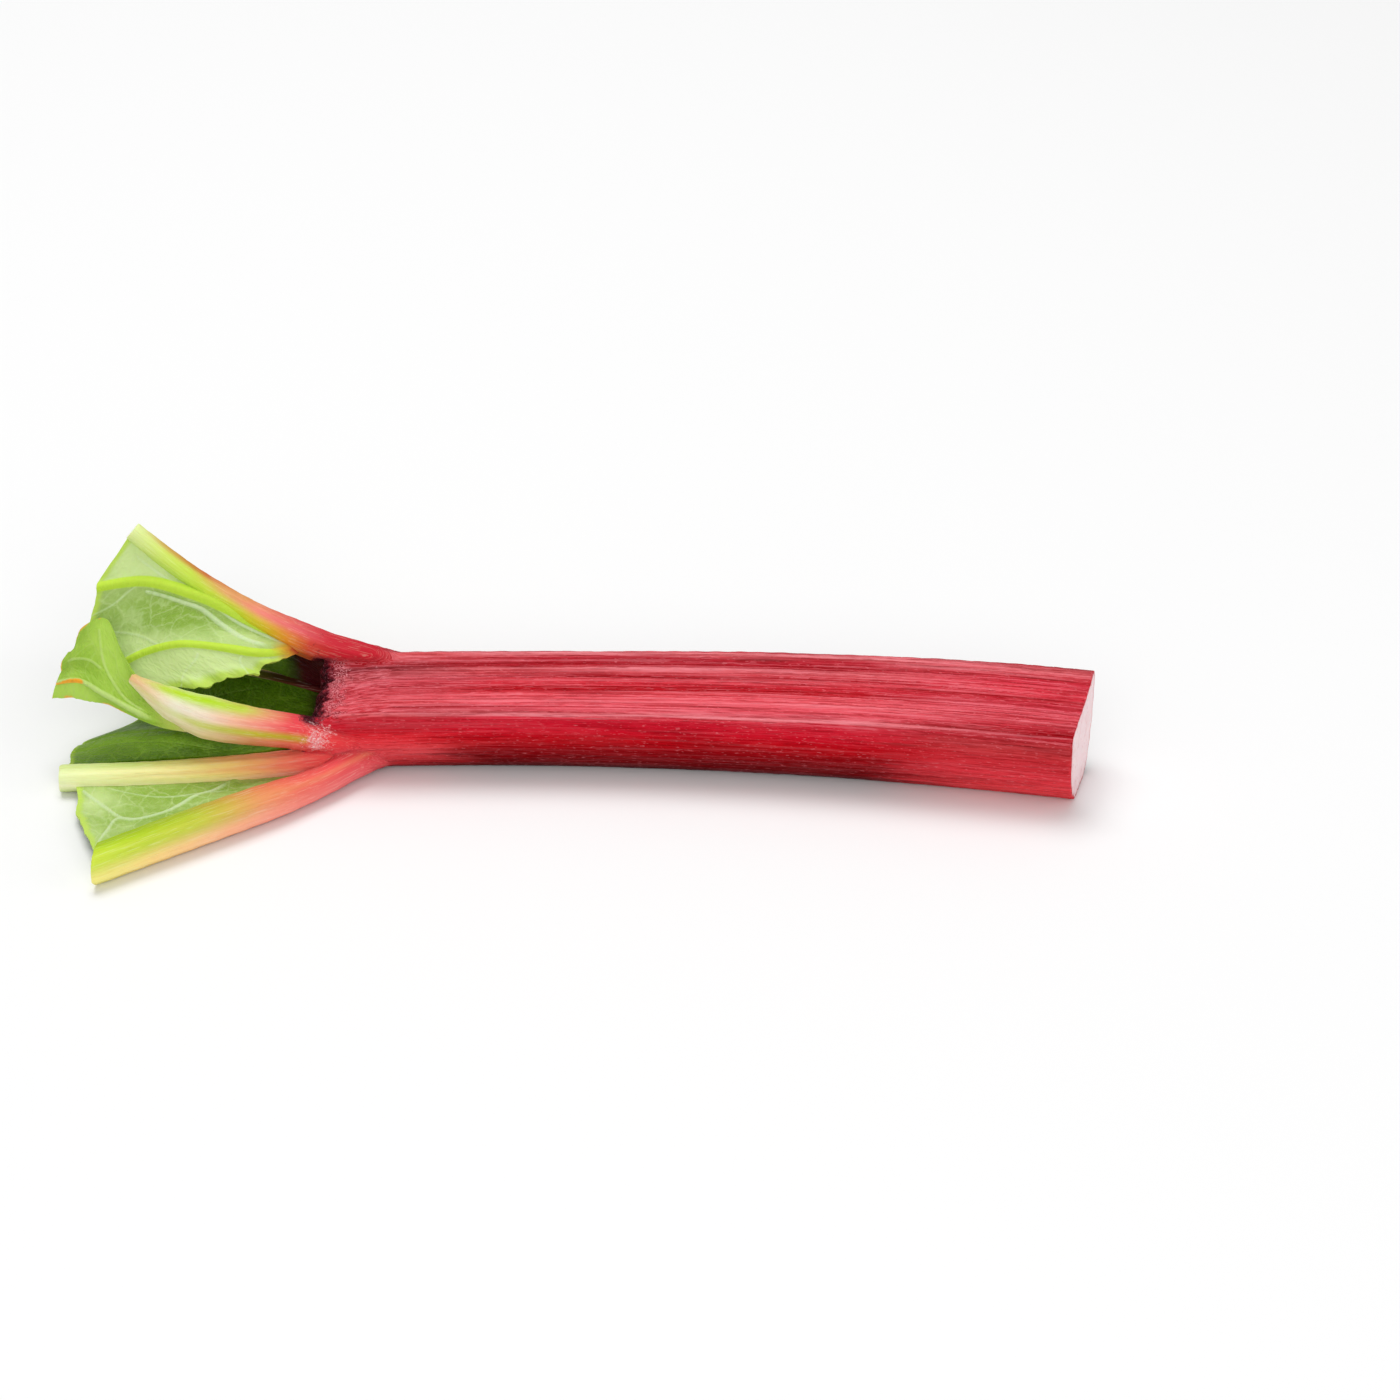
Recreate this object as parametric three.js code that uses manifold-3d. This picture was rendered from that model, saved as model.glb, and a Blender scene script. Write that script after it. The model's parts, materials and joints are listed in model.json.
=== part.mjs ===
// A rhubarb stalk as picked and trimmed, lying on a table: one fleshy leaf stalk that
// runs out into its five main ribs, and what the knife left of the leaf between them.
// Millimetres, +Z up. The stalk lies along X, its thick cut end towards +X and its leaf
// towards -X. Points are written from the crown, the place on the table under the spot
// where the ribs part; the finished group is then moved so that its origin is the
// middle of the underside of its box.
import * as THREE from "three";
import { mergeVertices } from "three/addons/utils/BufferGeometryUtils.js";
import Module from "manifold-3d";

const wasm = await Module();
wasm.setup();

// Driving dimensions.
const stalkLength = 243; // crown to thick cut end, along X
const bladeThickness = 1.1; // a leaf blade
const gap = 0.35; // clearance between the stalk and a blade, and between blades

const stalk = {
  crownScale: 0.9, // girth at the crown, as a share of the girth at the cut end
  taperFrom: 50, // the girth starts to grow here and is full at the cut end
  bow: 0.00055, // sideways bow: y falls by bow * (distance from bowMiddle)^2
  bowMiddle: 115,
  bowPeak: 1.2,
  cutSlant: Math.tan(THREE.MathUtils.degToRad(11.7)), // the knife went through askew
  cutSlantFrom: 0.55, // share of the length where the rings start to lean with the cut
  crownStart: -3.5, // the end between the ribs lies this far along X
  crownRound: 7, // and is rounded over this length
  crownLeast: 0.72, // down to this share of the girth
  crownDip: 3.5, // the channelled face sinks by this much where the ribs part
  crownDipLength: 24,
  faceHeight: [20, 28], // the channelled face starts between these heights
  faceEdge: [6, 14], // and stops between these distances to the side, towards +Y
  middleHeight: 16, // middle of the girth
  ridges: 17, // ridges round the girth
  ridgeHeight: 0.5,
  around: 96,
  along: 16,
  ringCrowding: 1.6, // rings are closer near the crown
};

// The girth at the cut end as [y, z]: the channelled upper face leans towards -Y, with a
// sharp edge on each side, and the belly is blunt and flattened where it rests.
const girth = [
  [-17.5, 24.6], [-17.0, 27.0], [-15.0, 28.2], [-8.0, 29.2], [0.0, 30.0], [8.0, 31.2],
  [14.6, 32.9], [17.0, 33.2], [18.1, 31.4], [18.3, 26.0], [16.8, 15.0], [12.6, 5.0],
  [7.0, -0.2], [0.0, -0.5], [-6.8, -0.2], [-12.4, 3.6], [-16.4, 11.0], [-17.7, 19.0],
];

// The five main ribs, from inside the stalk to the knife cut: [x, y, z, half width, half height].
const ribs = {
  upper: [
    [34, 9.6, 22.6, 3.6, 4.2], [14, 10.6, 26.6, 5.2, 5.6], [-4, 10.8, 32.0, 5.2, 5.4],
    [-22, 11.8, 40.4, 4.2, 4.0], [-39, 13.8, 50.3, 3.5, 3.2], [-51, 15.4, 59.0, 3.2, 2.8],
    [-62, 17, 68.0, 3.2, 2.6],
  ],
  near: [
    [20, -13.0, 14.5, 4.2, 5.0], [5, -17.8, 14.8, 5.4, 5.8], [-8, -22.0, 18.6, 5.4, 5.3],
    [-20, -24, 21.2, 5.8, 5.9], [-33, -23.4, 23.2, 5.8, 6.8], [-44, -21.3, 26.2, 4.4, 5.6],
    [-52, -19.2, 30.0, 2.4, 3.2], [-58, -17.4, 33.2, 1.3, 1.5],
  ],
  long: [
    [26, -12, 8.0, 4.0, 4.0], [8, -17.5, 6.4, 4.9, 4.7], [-8, -21.2, 5.2, 4.8, 4.7],
    [-28, -25.4, 4.8, 4.6, 4.5], [-52, -29.5, 4.5, 4.3, 4.3], [-80, -32.6, 4.2, 4.2, 4.1],
  ],
  front: [
    [36, -6.0, 7.4, 4.2, 4.2], [18, -15.0, 6.4, 4.8, 4.6], [1, -33.6, 5.5, 5.0, 4.8],
    [-14, -47.0, 5.8, 5.8, 5.7], [-36, -65.6, 5.9, 6.0, 5.9], [-58, -84.6, 5.8, 5.8, 5.7],
  ],
  back: [
    [26, 8, 9.0, 4.0, 4.0], [6, 17, 7.6, 4.8, 4.7], [-14, 26, 5.6, 4.8, 4.7],
    [-38, 35.5, 4.8, 4.4, 4.4], [-60, 42, 4.4, 4.0, 4.2],
  ],
};
const ribShape = { around: 14, along: 14 };
const cutStraightDown = ["front", "back"]; // these ribs are cut along Y, the others square across

// Thin veins that stand out of the upper blade, same form as the ribs.
const veins = {
  branch: [
    [-26, 11.5, 42.0, 1.6, 1.6], [-38, 10.8, 47.4, 1.9, 1.8], [-55, 9.6, 52.2, 1.6, 1.5],
    [-73, 9.2, 50.2, 1.3, 1.2],
  ],
  lower: [
    [-9, 7.0, 33.0, 1.6, 1.6], [-22, -0.8, 35.6, 1.5, 1.4], [-42, -2.2, 36.2, 1.3, 1.2],
    [-58, -3.0, 32.2, 1.2, 1.1], [-73, -4.0, 27.4, 1.0, 1.0],
  ],
};

// What is left of the leaf. Each blade is a sheet through its guide lines, which all run
// from the crown to the knife cut; the sheet passes from one guide to the next.
const blades = {
  upper_leaf_blade: [
    [[-4, 11.0, 32.5], [-18, 11.4, 37.4], [-36, 12.8, 47.6], [-50, 14.6, 57.2], [-63, 16.0, 66.4]],
    [[-5, 9.4, 32.4], [-20, 10.2, 38.6], [-37, 10.6, 46.8], [-55, 9.2, 52.2], [-74, 9.0, 50.2]],
    [[-6, 8.8, 31.8], [-22, 5.6, 36.6], [-41, 5.4, 41.8], [-58, 4.0, 42.2], [-77, 3.0, 38.6]],
    [[-7, 8.0, 31.2], [-22, -0.6, 35.4], [-42, -2.0, 36.0], [-58, -2.8, 32.0], [-75, -3.6, 27.0]],
    [[-8, 7.4, 30.6], [-15, -2.6, 29.8], [-26, -10.0, 26.6], [-46, -10.6, 22.8], [-70, -6.0, 20.0]],
  ],
  back_leaf_blade: [
    [[-4, 12.4, 31.6], [-20, 14.6, 37.8], [-37, 17.2, 48.0], [-50, 19.2, 56.6], [-60, 21.0, 63.0]],
    [[-3, 17.0, 26.0], [-20, 26.0, 31.0], [-36, 32.6, 38.6], [-49, 36.6, 44.0], [-60, 39.0, 47.6]],
    [[-2, 18.4, 19.0], [-20, 31.4, 20.4], [-37, 39.4, 22.4], [-51, 43.6, 24.0], [-63, 46.0, 25.0]],
    [[0, 17.0, 13.0], [-18, 27.8, 10.4], [-36, 35.8, 9.6], [-49, 39.8, 9.2], [-61, 43.2, 8.8]],
  ],
  floor_leaf_blade: [
    [[1, 12.5, 11.0], [-18, 23.8, 9.2], [-36, 31.4, 8.0], [-48, 35.2, 7.6], [-59, 38.4, 7.4]],
    [[0, 3.0, 9.5], [-20, 8.0, 5.4], [-38, 9.6, 3.6], [-52, 9.4, 3.2], [-62, 8.4, 3.4]],
    [[0, -7.0, 9.5], [-22, -8.5, 9.0], [-42, -8.5, 8.8], [-62, -8.5, 7.2], [-79, -10.6, 3.2]],
    [[0, -14.5, 10.0], [-24, -20.6, 8.0], [-44, -23.8, 7.8], [-60, -26.0, 7.2], [-79, -28.4, 6.2]],
  ],
  front_leaf_blade: [
    [[2, -23.0, 4.2], [-16, -26.6, 3.4], [-36, -30.0, 3.2], [-56, -32.6, 3.2], [-75, -34.4, 3.4]],
    [[2, -27.0, 4.2], [-14, -36.0, 4.6], [-32, -43.6, 5.2], [-50, -50.4, 4.6], [-70, -56.0, 3.0]],
    [[0, -31.6, 4.2], [-13, -43.0, 4.6], [-28, -55.0, 5.4], [-45, -67.0, 5.6], [-60, -77.6, 5.0]],
  ],
  curled_leaf_blade: [
    [[-30, -25, 17.4], [-48.2, -24.5, 19.7], [-57.5, -23.5, 23.2], [-65.7, -21.5, 25.5],
      [-75.5, -18, 24.4], [-85.2, -14, 22.1]],
    [[-30, -24.6, 19.0], [-49.5, -23, 23.9], [-59.2, -21, 27.9], [-68.3, -17, 33.2],
      [-76.3, -13.5, 33.9], [-83.4, -12, 30.2]],
    [[-30, -24.2, 22.0], [-52.3, -20, 29.0], [-60.3, -16, 34.8], [-68.0, -11, 44.4],
      [-76.1, -9, 39.7], [-80.3, -9.5, 35.1]],
    [[-30, -23.8, 25.0], [-53.2, -19, 32.4], [-60.1, -14, 39.1], [-66.3, -8, 49.3],
      [-73.3, -7, 44.9], [-77.7, -8.5, 37.6]],
  ],
};
const bladeShape = {
  along: 14,
  across: 10,
  ripple: 0.7, // height of the waves, which grow away from the crown
  wavesAlong: 9,
  wavesAcross: 2,
  nudge: 0.01, // step over which the sheet's slope is taken
};
const veinShape = { around: 8, along: 10 };

const skinRed = new THREE.MeshStandardMaterial({ color: 0xb3202f, roughness: 0.42, metalness: 0 });
const leafGreen = new THREE.MeshStandardMaterial({ color: 0x86a84c, roughness: 0.6, metalness: 0 });

const line = (points) => {
  const spots = points.map((p) => new THREE.Vector3(p[0], p[1], p[2]));
  return new THREE.CatmullRomCurve3(spots, false, "catmullrom", 0.5);
};

// Moves every vertex of a three.js geometry by a rule and merges it into one closed mesh.
function shaped(geometry, rule) {
  const position = geometry.getAttribute("position");
  const point = new THREE.Vector3();
  for (let i = 0; i < position.count; i++) {
    point.fromBufferAttribute(position, i);
    rule(point);
    position.setXYZ(i, point.x, point.y, point.z);
  }
  geometry.deleteAttribute("normal");
  geometry.deleteAttribute("uv");
  return mergeVertices(geometry, 1e-4);
}

function solidOf(geometry) {
  const mesh = new wasm.Mesh({
    numProp: 3,
    vertProperties: new Float32Array(geometry.getAttribute("position").array),
    triVerts: new Uint32Array(geometry.index.array),
  });
  return new wasm.Manifold(mesh);
}

function geometryOf(solid) {
  const mesh = solid.getMesh();
  const geometry = new THREE.BufferGeometry();
  geometry.setAttribute("position", new THREE.BufferAttribute(mesh.vertProperties, 3));
  geometry.setIndex(new THREE.BufferAttribute(mesh.triVerts, 1));
  return geometry;
}

const largestPiece = (solid) =>
  solid.decompose().reduce((best, piece) => (piece.volume() > best.volume() ? piece : best));

// The fleshy stalk without its ribs: a unit cylinder whose rings become girths.
function stalkBody(grow) {
  const outline = new THREE.CatmullRomCurve3(
    girth.map(([y, z]) => new THREE.Vector3(0, y, z)), true, "catmullrom", 0.5);
  const rim = outline.getSpacedPoints(stalk.around);
  const middle = new THREE.Vector3(0, 0, stalk.middleHeight);
  return shaped(new THREE.CylinderGeometry(1, 1, 1, stalk.around, stalk.along), (p) => {
    const along = p.y + 0.5; // 0 at the crown, 1 at the cut end
    const radius = Math.min(1, Math.hypot(p.x, p.z));
    const turn = (1 - Math.atan2(p.x, p.z) / (2 * Math.PI)) % 1;
    const x = THREE.MathUtils.lerp(stalk.crownStart, stalkLength, along ** stalk.ringCrowding);
    const at = rim[Math.round(turn * stalk.around) % stalk.around];
    const out = at.clone().sub(middle).setX(0).normalize();
    const spot = middle.clone().lerp(
      at.clone().addScaledVector(out, ridgeAt(turn) + grow), radius * crownRounding(x));
    const scale = girthScale(x);
    const y = spot.y * scale;
    const z = (spot.z - faceDip(x, spot)) * scale;
    const lean = THREE.MathUtils.smoothstep(x, stalkLength * stalk.cutSlantFrom, stalkLength);
    const reach = along === 1 ? grow : along === 0 ? -grow : 0;
    p.set(x + y * stalk.cutSlant * lean + reach, axisY(x) + y, Math.max(z, -grow));
  });
}

function axisY(x) {
  return stalk.bowPeak - stalk.bow * (x - stalk.bowMiddle) ** 2;
}

function girthScale(x) {
  const share = THREE.MathUtils.smoothstep(x, stalk.taperFrom, stalkLength);
  return THREE.MathUtils.lerp(stalk.crownScale, 1, share);
}

// Ridges run all the way along and fade out where the girth starts and ends.
function ridgeAt(turn) {
  return stalk.ridgeHeight * Math.cos(2 * Math.PI * stalk.ridges * turn) * Math.sin(Math.PI * turn) ** 2;
}

// The stalk's end between the ribs is rounded off.
function crownRounding(x) {
  const share = THREE.MathUtils.clamp((x - stalk.crownStart) / stalk.crownRound, 0, 1);
  return THREE.MathUtils.lerp(stalk.crownLeast, 1, Math.sqrt(1 - (1 - share) ** 2));
}

// How far the channelled face sinks towards the crown.
function faceDip(x, spot) {
  const [low, high] = stalk.faceHeight;
  const [near, far] = stalk.faceEdge;
  const onFace = THREE.MathUtils.smoothstep(spot.z, low, high)
    * THREE.MathUtils.smoothstep(-spot.y, -far, -near);
  return stalk.crownDip * (1 - THREE.MathUtils.smoothstep(x, 0, stalk.crownDipLength)) * onFace;
}

// A rib or vein: a unit cylinder drawn along its centre line as an ellipse.
function tube(stations, grow, shape, straightDown = false) {
  const centre = line(stations);
  const up = new THREE.Vector3(0, 0, 1);
  const last = stations.length - 1;
  return shaped(new THREE.CylinderGeometry(1, 1, 1, shape.around, shape.along), (p) => {
    const along = p.y + 0.5;
    const place = along * last;
    const i = Math.min(last - 1, Math.floor(place));
    const halfWidth = THREE.MathUtils.lerp(stations[i][3], stations[i + 1][3], place - i) + grow;
    const halfHeight = THREE.MathUtils.lerp(stations[i][4], stations[i + 1][4], place - i) + grow;
    const tangent = centre.getTangent(along);
    const side = tangent.clone().cross(up).normalize();
    const rise = side.clone().cross(tangent);
    const spot = centre.getPoint(along)
      .addScaledVector(side, p.x * halfWidth)
      .addScaledVector(rise, p.z * halfHeight);
    if (straightDown && along === 1)
      spot.addScaledVector(tangent, (stations[last][0] - spot.x) / tangent.x);
    p.copy(spot);
  });
}

// A leaf blade: a thin box laid on the sheet through its guide lines.
function sheet(guides, thickness) {
  const lines = guides.map(line);
  const place = (u, v) => line(lines.map((l) => l.getPoint(u).toArray())).getPoint(v);
  const { nudge, ripple, wavesAlong, wavesAcross } = bladeShape;
  return shaped(new THREE.BoxGeometry(1, 1, 1, bladeShape.along, bladeShape.across, 1), (p) => {
    const u = THREE.MathUtils.clamp(p.x + 0.5, 0, 1);
    const v = THREE.MathUtils.clamp(p.y + 0.5, 0, 1);
    const alongU = place(Math.min(1, u + nudge), v).sub(place(Math.max(0, u - nudge), v));
    const alongV = place(u, Math.min(1, v + nudge)).sub(place(u, Math.max(0, v - nudge)));
    const normal = alongU.cross(alongV).normalize();
    const wave = ripple * Math.sin(wavesAlong * u + wavesAcross * v) * Math.sin(Math.PI * v) * u;
    p.copy(place(u, v).addScaledVector(normal, p.z * thickness + wave));
  });
}

function stalkWithRibs(grow) {
  let solid = solidOf(stalkBody(grow));
  for (const [name, stations] of Object.entries(ribs))
    solid = solid.add(solidOf(tube(stations, grow, ribShape, cutStraightDown.includes(name))));
  return solid;
}

const fleshy = stalkWithRibs(0);
const keepClear = stalkWithRibs(gap);

const part = new THREE.Group();
function addPiece(name, solid, material) {
  const mesh = new THREE.Mesh(geometryOf(solid), material);
  mesh.name = name;
  part.add(mesh);
}

addPiece("stalk", fleshy, skinRed);
for (const [name, guides] of Object.entries(blades)) {
  let solid = solidOf(sheet(guides, bladeThickness));
  if (name === "upper_leaf_blade")
    for (const stations of Object.values(veins))
      solid = solid.add(solidOf(tube(stations, 0, veinShape)));
  addPiece(name, largestPiece(solid.subtract(keepClear)), leafGreen);
}

// The origin goes to the middle of the underside of the whole part's box.
const box = new THREE.Box3().setFromObject(part);
part.position.set(-(box.min.x + box.max.x) / 2, -(box.min.y + box.max.y) / 2, -box.min.z);

export default part;
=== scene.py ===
import json
import math

import bmesh
import bpy
import numpy as np
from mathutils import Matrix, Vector
from mathutils.geometry import delaunay_2d_cdt

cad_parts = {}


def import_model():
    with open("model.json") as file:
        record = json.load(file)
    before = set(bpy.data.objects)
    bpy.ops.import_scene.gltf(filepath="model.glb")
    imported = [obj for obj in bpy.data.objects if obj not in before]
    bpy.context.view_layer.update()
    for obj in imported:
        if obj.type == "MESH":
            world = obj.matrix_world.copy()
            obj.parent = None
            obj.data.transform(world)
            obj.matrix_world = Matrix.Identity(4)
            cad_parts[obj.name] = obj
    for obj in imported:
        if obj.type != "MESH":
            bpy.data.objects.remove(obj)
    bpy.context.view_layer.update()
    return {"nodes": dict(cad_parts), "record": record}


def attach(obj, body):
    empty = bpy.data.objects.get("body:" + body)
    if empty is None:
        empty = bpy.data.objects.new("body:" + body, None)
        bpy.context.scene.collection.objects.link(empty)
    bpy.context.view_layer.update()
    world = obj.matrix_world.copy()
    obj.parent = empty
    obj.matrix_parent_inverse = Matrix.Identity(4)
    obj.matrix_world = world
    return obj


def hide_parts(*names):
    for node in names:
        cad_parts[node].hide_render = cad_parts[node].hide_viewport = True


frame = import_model()

mm = 0.001  # places are written in millimetres from the crown, as the solids are

# the rest mount lies this far along the stalk from the crown, where the ribs part
restFromCrown = np.array([115.0, 0.0, 0.0])
restMount = next(m for m in frame["record"]["mounts"] if m["name"] == "rest")
crown = np.array(restMount["pos_m"]) / mm - restFromCrown


def world(points):  # millimetres from the crown to metres in the frame
    return (np.asarray(points, float) + crown) * mm


def local(points):  # metres in the frame to millimetres from the crown
    return np.asarray(points, float) / mm - crown


def step(value, low, high):  # a smooth 0 to 1 as value goes from low to high
    share = np.clip((np.asarray(value, float) - low) / (high - low), 0.0, 1.0)
    return share * share * (3 - 2 * share)


def linear(hexColour):  # a colour as painters write it, as the light that it gives
    parts = [int(hexColour[i:i + 2], 16) / 255 for i in (1, 3, 5)]
    return np.array([c / 12.92 if c < 0.04045 else ((c + 0.055) / 1.055) ** 2.4 for c in parts])


def rgba(hexColour):
    return (*linear(hexColour), 1.0)


class Wire:  # a socket that can be used in sums, each of which adds its node
    def __init__(self, tree, socket=None):
        self.tree = tree
        self.socket = socket

    def node(self, kind, settings, sockets, output=0):
        made = self.tree.nodes.new(kind)
        for name, value in settings.items():
            if name == "stops":
                layStops(made.color_ramp, value)
            else:
                setattr(made, name, value)
        plug(made, sockets)
        return Wire(self.tree, made.outputs[output])

    def maths(self, operation, first, second):
        return self.node("ShaderNodeMath", {"operation": operation}, {0: first, 1: second})

    def __add__(self, other):
        return self.maths("ADD", self, other)

    def __sub__(self, other):
        return self.maths("SUBTRACT", self, other)

    def __rsub__(self, other):
        return self.maths("SUBTRACT", other, self)

    def __mul__(self, other):
        return self.maths("MULTIPLY", self, other)

    __radd__ = __add__
    __rmul__ = __mul__

    def __rmul__(self, other):
        return self.maths("MULTIPLY", other, self)

    def attribute(self, name, output="Fac"):
        return self.node("ShaderNodeAttribute", {"attribute_name": name}, {}, output)

    def scaled(self, factors):  # a vector stretched along its axes
        return self.node("ShaderNodeVectorMath", {"operation": "MULTIPLY"}, {0: self, 1: factors})

    def noise(self, scale, detail=2.0, rough=0.5, output="Fac"):
        sockets = {"Vector": self, "Scale": scale, "Detail": detail, "Roughness": rough}
        return self.node("ShaderNodeTexNoise", {"noise_dimensions": "3D"}, sockets, output)

    def cells(self, scale, feature="F1"):  # how far it is to the middle, or the edge, of a cell
        sockets = {"Vector": self, "Scale": scale}
        return self.node("ShaderNodeTexVoronoi", {"feature": feature}, sockets, "Distance")

    def between(self, low, high):  # 0 at low, 1 at high, smooth
        settings = {"interpolation_type": "SMOOTHSTEP"}
        sockets = {"Value": self, "From Min": low, "From Max": high, "To Min": 0.0, "To Max": 1.0}
        return self.node("ShaderNodeMapRange", settings, sockets)

    def mix(self, first, second, blend="MIX"):  # this wire is the share of the second colour
        first, second = [rgba(c) if isinstance(c, str) else c for c in (first, second)]
        settings = {"data_type": "RGBA", "blend_type": blend}
        return self.node("ShaderNodeMix", settings, {0: self, 6: first, 7: second}, 2)

    def ramp(self, stops):
        return self.node("ShaderNodeValToRGB", {"stops": stops}, {"Fac": self})

    def bump(self, strength, distance):  # this wire is the height, and the distance is in metres
        sockets = {"Height": self, "Strength": strength, "Distance": distance}
        return self.node("ShaderNodeBump", {}, sockets)


def plug(node, sockets):  # each socket gets a link or a plain value
    for name, value in sockets.items():
        if isinstance(value, Wire):
            node.id_data.links.new(value.socket, node.inputs[name])
        else:
            node.inputs[name].default_value = value


def layStops(ramp, stops):  # stops are (place, colour)
    while len(ramp.elements) > 1:
        ramp.elements.remove(ramp.elements[-1])
    ramp.elements[0].position = stops[0][0]
    ramp.elements[0].color = stops[0][1]
    for place, colour in stops[1:]:
        ramp.elements.new(place).color = colour


def coats(paint, layers):  # each coat is its share, its colour and, where it isn't plain, its blend
    for share, colour, *blend in layers:
        paint = share.mix(paint, colour, *blend)
    return paint


def newMaterial(name):
    material = bpy.data.materials.new(name)
    material.use_nodes = True
    tree = material.node_tree
    return material, Wire(tree), tree.nodes["Principled BSDF"]


# glow is the light that comes back from under the surface: how much, how far in metres, and its tint
def finish(shader, paint, rough, bump, gloss, glow, reach, tint):
    plug(shader, {
        "Base Color": paint,
        "Roughness": rough,
        "Normal": bump,
        "Specular IOR Level": gloss,
        "Subsurface Weight": glow,
        "Subsurface Scale": reach,
        "Subsurface Radius": tint,
    })


def cubic(a, b, c, d, t):  # a smooth way from b to c, with a before them and d after them
    pull, push = (c - a) / 2, (d - b) / 2
    cubed = (2 * b - 2 * c + pull + push) * t ** 3
    squared = (-3 * b + 3 * c - 2 * pull - push) * t ** 2
    return cubed + squared + pull * t + b


def smoothLine(points, samples):  # the same smooth curve through points as the solids use
    p = np.asarray(points, float)
    p = np.vstack([2 * p[0] - p[1], p, 2 * p[-1] - p[-2]])
    place = np.clip(samples, 0, 1) * (len(p) - 3)
    i = np.minimum(place.astype(int), len(p) - 4)
    return cubic(p[i], p[i + 1], p[i + 2], p[i + 3], (place - i)[:, None])


def closedLine(points, count):  # an even closed curve through points, with the length at each sample
    p = np.asarray(points, float)
    n = len(p)
    place = np.linspace(0, n, count, endpoint=False)
    i = place.astype(int)
    spots = cubic(p[(i - 1) % n], p[i], p[(i + 1) % n], p[(i + 2) % n], (place - i)[:, None])
    hops = np.linalg.norm(np.roll(spots, -1, axis=0) - spots, axis=1)
    return spots, np.concatenate([[0], np.cumsum(hops)[:-1]]), hops.sum()


def nearest(points, line):  # for each point, the nearest sample of a line and how far it is
    where = np.empty(len(points), int)
    away = np.empty(len(points))
    batch = 4000  # points at a time, so that the table of distances stays small
    for start in range(0, len(points), batch):
        some = slice(start, start + batch)
        square = ((points[some][:, None, :] - line[None, :, :]) ** 2).sum(2)
        where[some] = square.argmin(1)
        away[some] = np.sqrt(square.min(1))
    return where, away


def bell(gap, width):  # 1 where there is no gap, fading out on both sides
    return np.exp(-(gap / width) ** 2)


def unit(vectors):
    return vectors / np.linalg.norm(vectors, axis=1)[:, None]


def readVertices(piece, field):
    values = np.empty(len(piece.data.vertices) * 3)
    piece.data.vertices.foreach_get(field, values)
    return values.reshape(-1, 3)


def readPoints(piece):
    return local(readVertices(piece, "co"))


def writePoints(piece, points):
    piece.data.vertices.foreach_set("co", world(points).ravel())
    piece.data.update()


def opaque(colours):
    return np.hstack([colours, np.ones((len(colours), 1))])


def store(piece, named):  # numbers, vectors or opaque colours, one at each point of the mesh
    kinds = {1: ("FLOAT", "value"), 3: ("FLOAT_VECTOR", "vector"), 4: ("FLOAT_COLOR", "color")}
    for name, values in named.items():
        rows = np.asarray(values, float).reshape(len(values), -1)
        kind, field = kinds[rows.shape[1]]
        layer = piece.data.attributes.new(name, kind, "POINT")
        layer.data.foreach_set(field, rows.ravel())


def only(piece):  # nothing but this piece is selected
    bpy.ops.object.select_all(action="DESELECT")
    piece.select_set(True)
    bpy.context.view_layer.objects.active = piece


def applyModifier(piece, kind, settings):
    only(piece)
    made = piece.modifiers.new(kind.title(), kind)
    for name, value in settings.items():
        setattr(made, name, value)
    bpy.ops.object.modifier_apply(modifier=made.name)


view = {
    "aim": (121.0, 4.0, 20.0),  # from the crown
    "azimuth": 4.0,
    "elevation": 30.0,
    "distance": 1244.4,
    "lens": 100,
    "sensor": 36,
    "clip": 0.05,  # metres
}


def placeCamera():
    turn, lift = math.radians(view["azimuth"]), math.radians(view["elevation"])
    back = np.array([math.sin(turn) * math.cos(lift), -math.cos(turn) * math.cos(lift), math.sin(lift)])
    aim = np.array(view["aim"])
    bpy.ops.object.camera_add(location=world(aim + back * view["distance"]))
    camera = bpy.context.object
    camera.rotation_euler = Vector(back).to_track_quat("Z", "Y").to_euler()
    camera.data.lens = view["lens"]
    camera.data.sensor_width = view["sensor"]
    camera.data.clip_start = view["clip"]
    bpy.context.scene.camera = camera


studio = {
    "sky": 0.46,  # the white room all round
    "white": (0.9, 0.9, 0.9, 1),
    "across": 8,  # metres of floor
    "aim": (90.0, 0.0, 15.0),  # where the boxes point, from the crown
    "boxes": [  # name, place from the crown, size in metres, watts
        ("key_softbox", (-300, 700, 2300), (1.5, 1.5), 33.0),
        ("front_fill", (300, -1900, 1150), (1.8, 1.0), 16.0),
        ("side_fill", (1900, -400, 900), (1.0, 1.0), 3.5),
    ],
}


def addSoftbox(name, place, size, power):
    spot = Vector(world(place))
    bpy.ops.object.light_add(type="AREA", location=spot)
    lamp = bpy.context.object
    lamp.name = name
    toAim = Vector(world(studio["aim"])) - spot
    lamp.rotation_euler = toAim.to_track_quat("-Z", "Y").to_euler()
    lamp.data.shape = "RECTANGLE"
    lamp.data.size, lamp.data.size_y = size
    lamp.data.energy = power


def buildStudio():
    bpy.ops.mesh.primitive_plane_add(size=studio["across"], location=(0, 0, 0))
    floor = bpy.context.object
    floor.name = "studio_floor"
    material, _, shader = newMaterial("studioWhite")
    plug(shader, {"Base Color": studio["white"], "Roughness": 0.7, "Specular IOR Level": 0.1})
    floor.data.materials.append(material)
    for box in studio["boxes"]:
        addSoftbox(*box)
    sky = bpy.data.worlds.new("studio")
    sky.use_nodes = True
    plug(sky.node_tree.nodes["Background"], {"Color": (1.0, 1.0, 1.0, 1), "Strength": studio["sky"]})
    bpy.context.scene.world = sky
    bpy.context.scene.view_settings.view_transform = "Standard"


bpy.ops.object.select_all(action="DESELECT")
placeCamera()
buildStudio()
print("studio ready")

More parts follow.
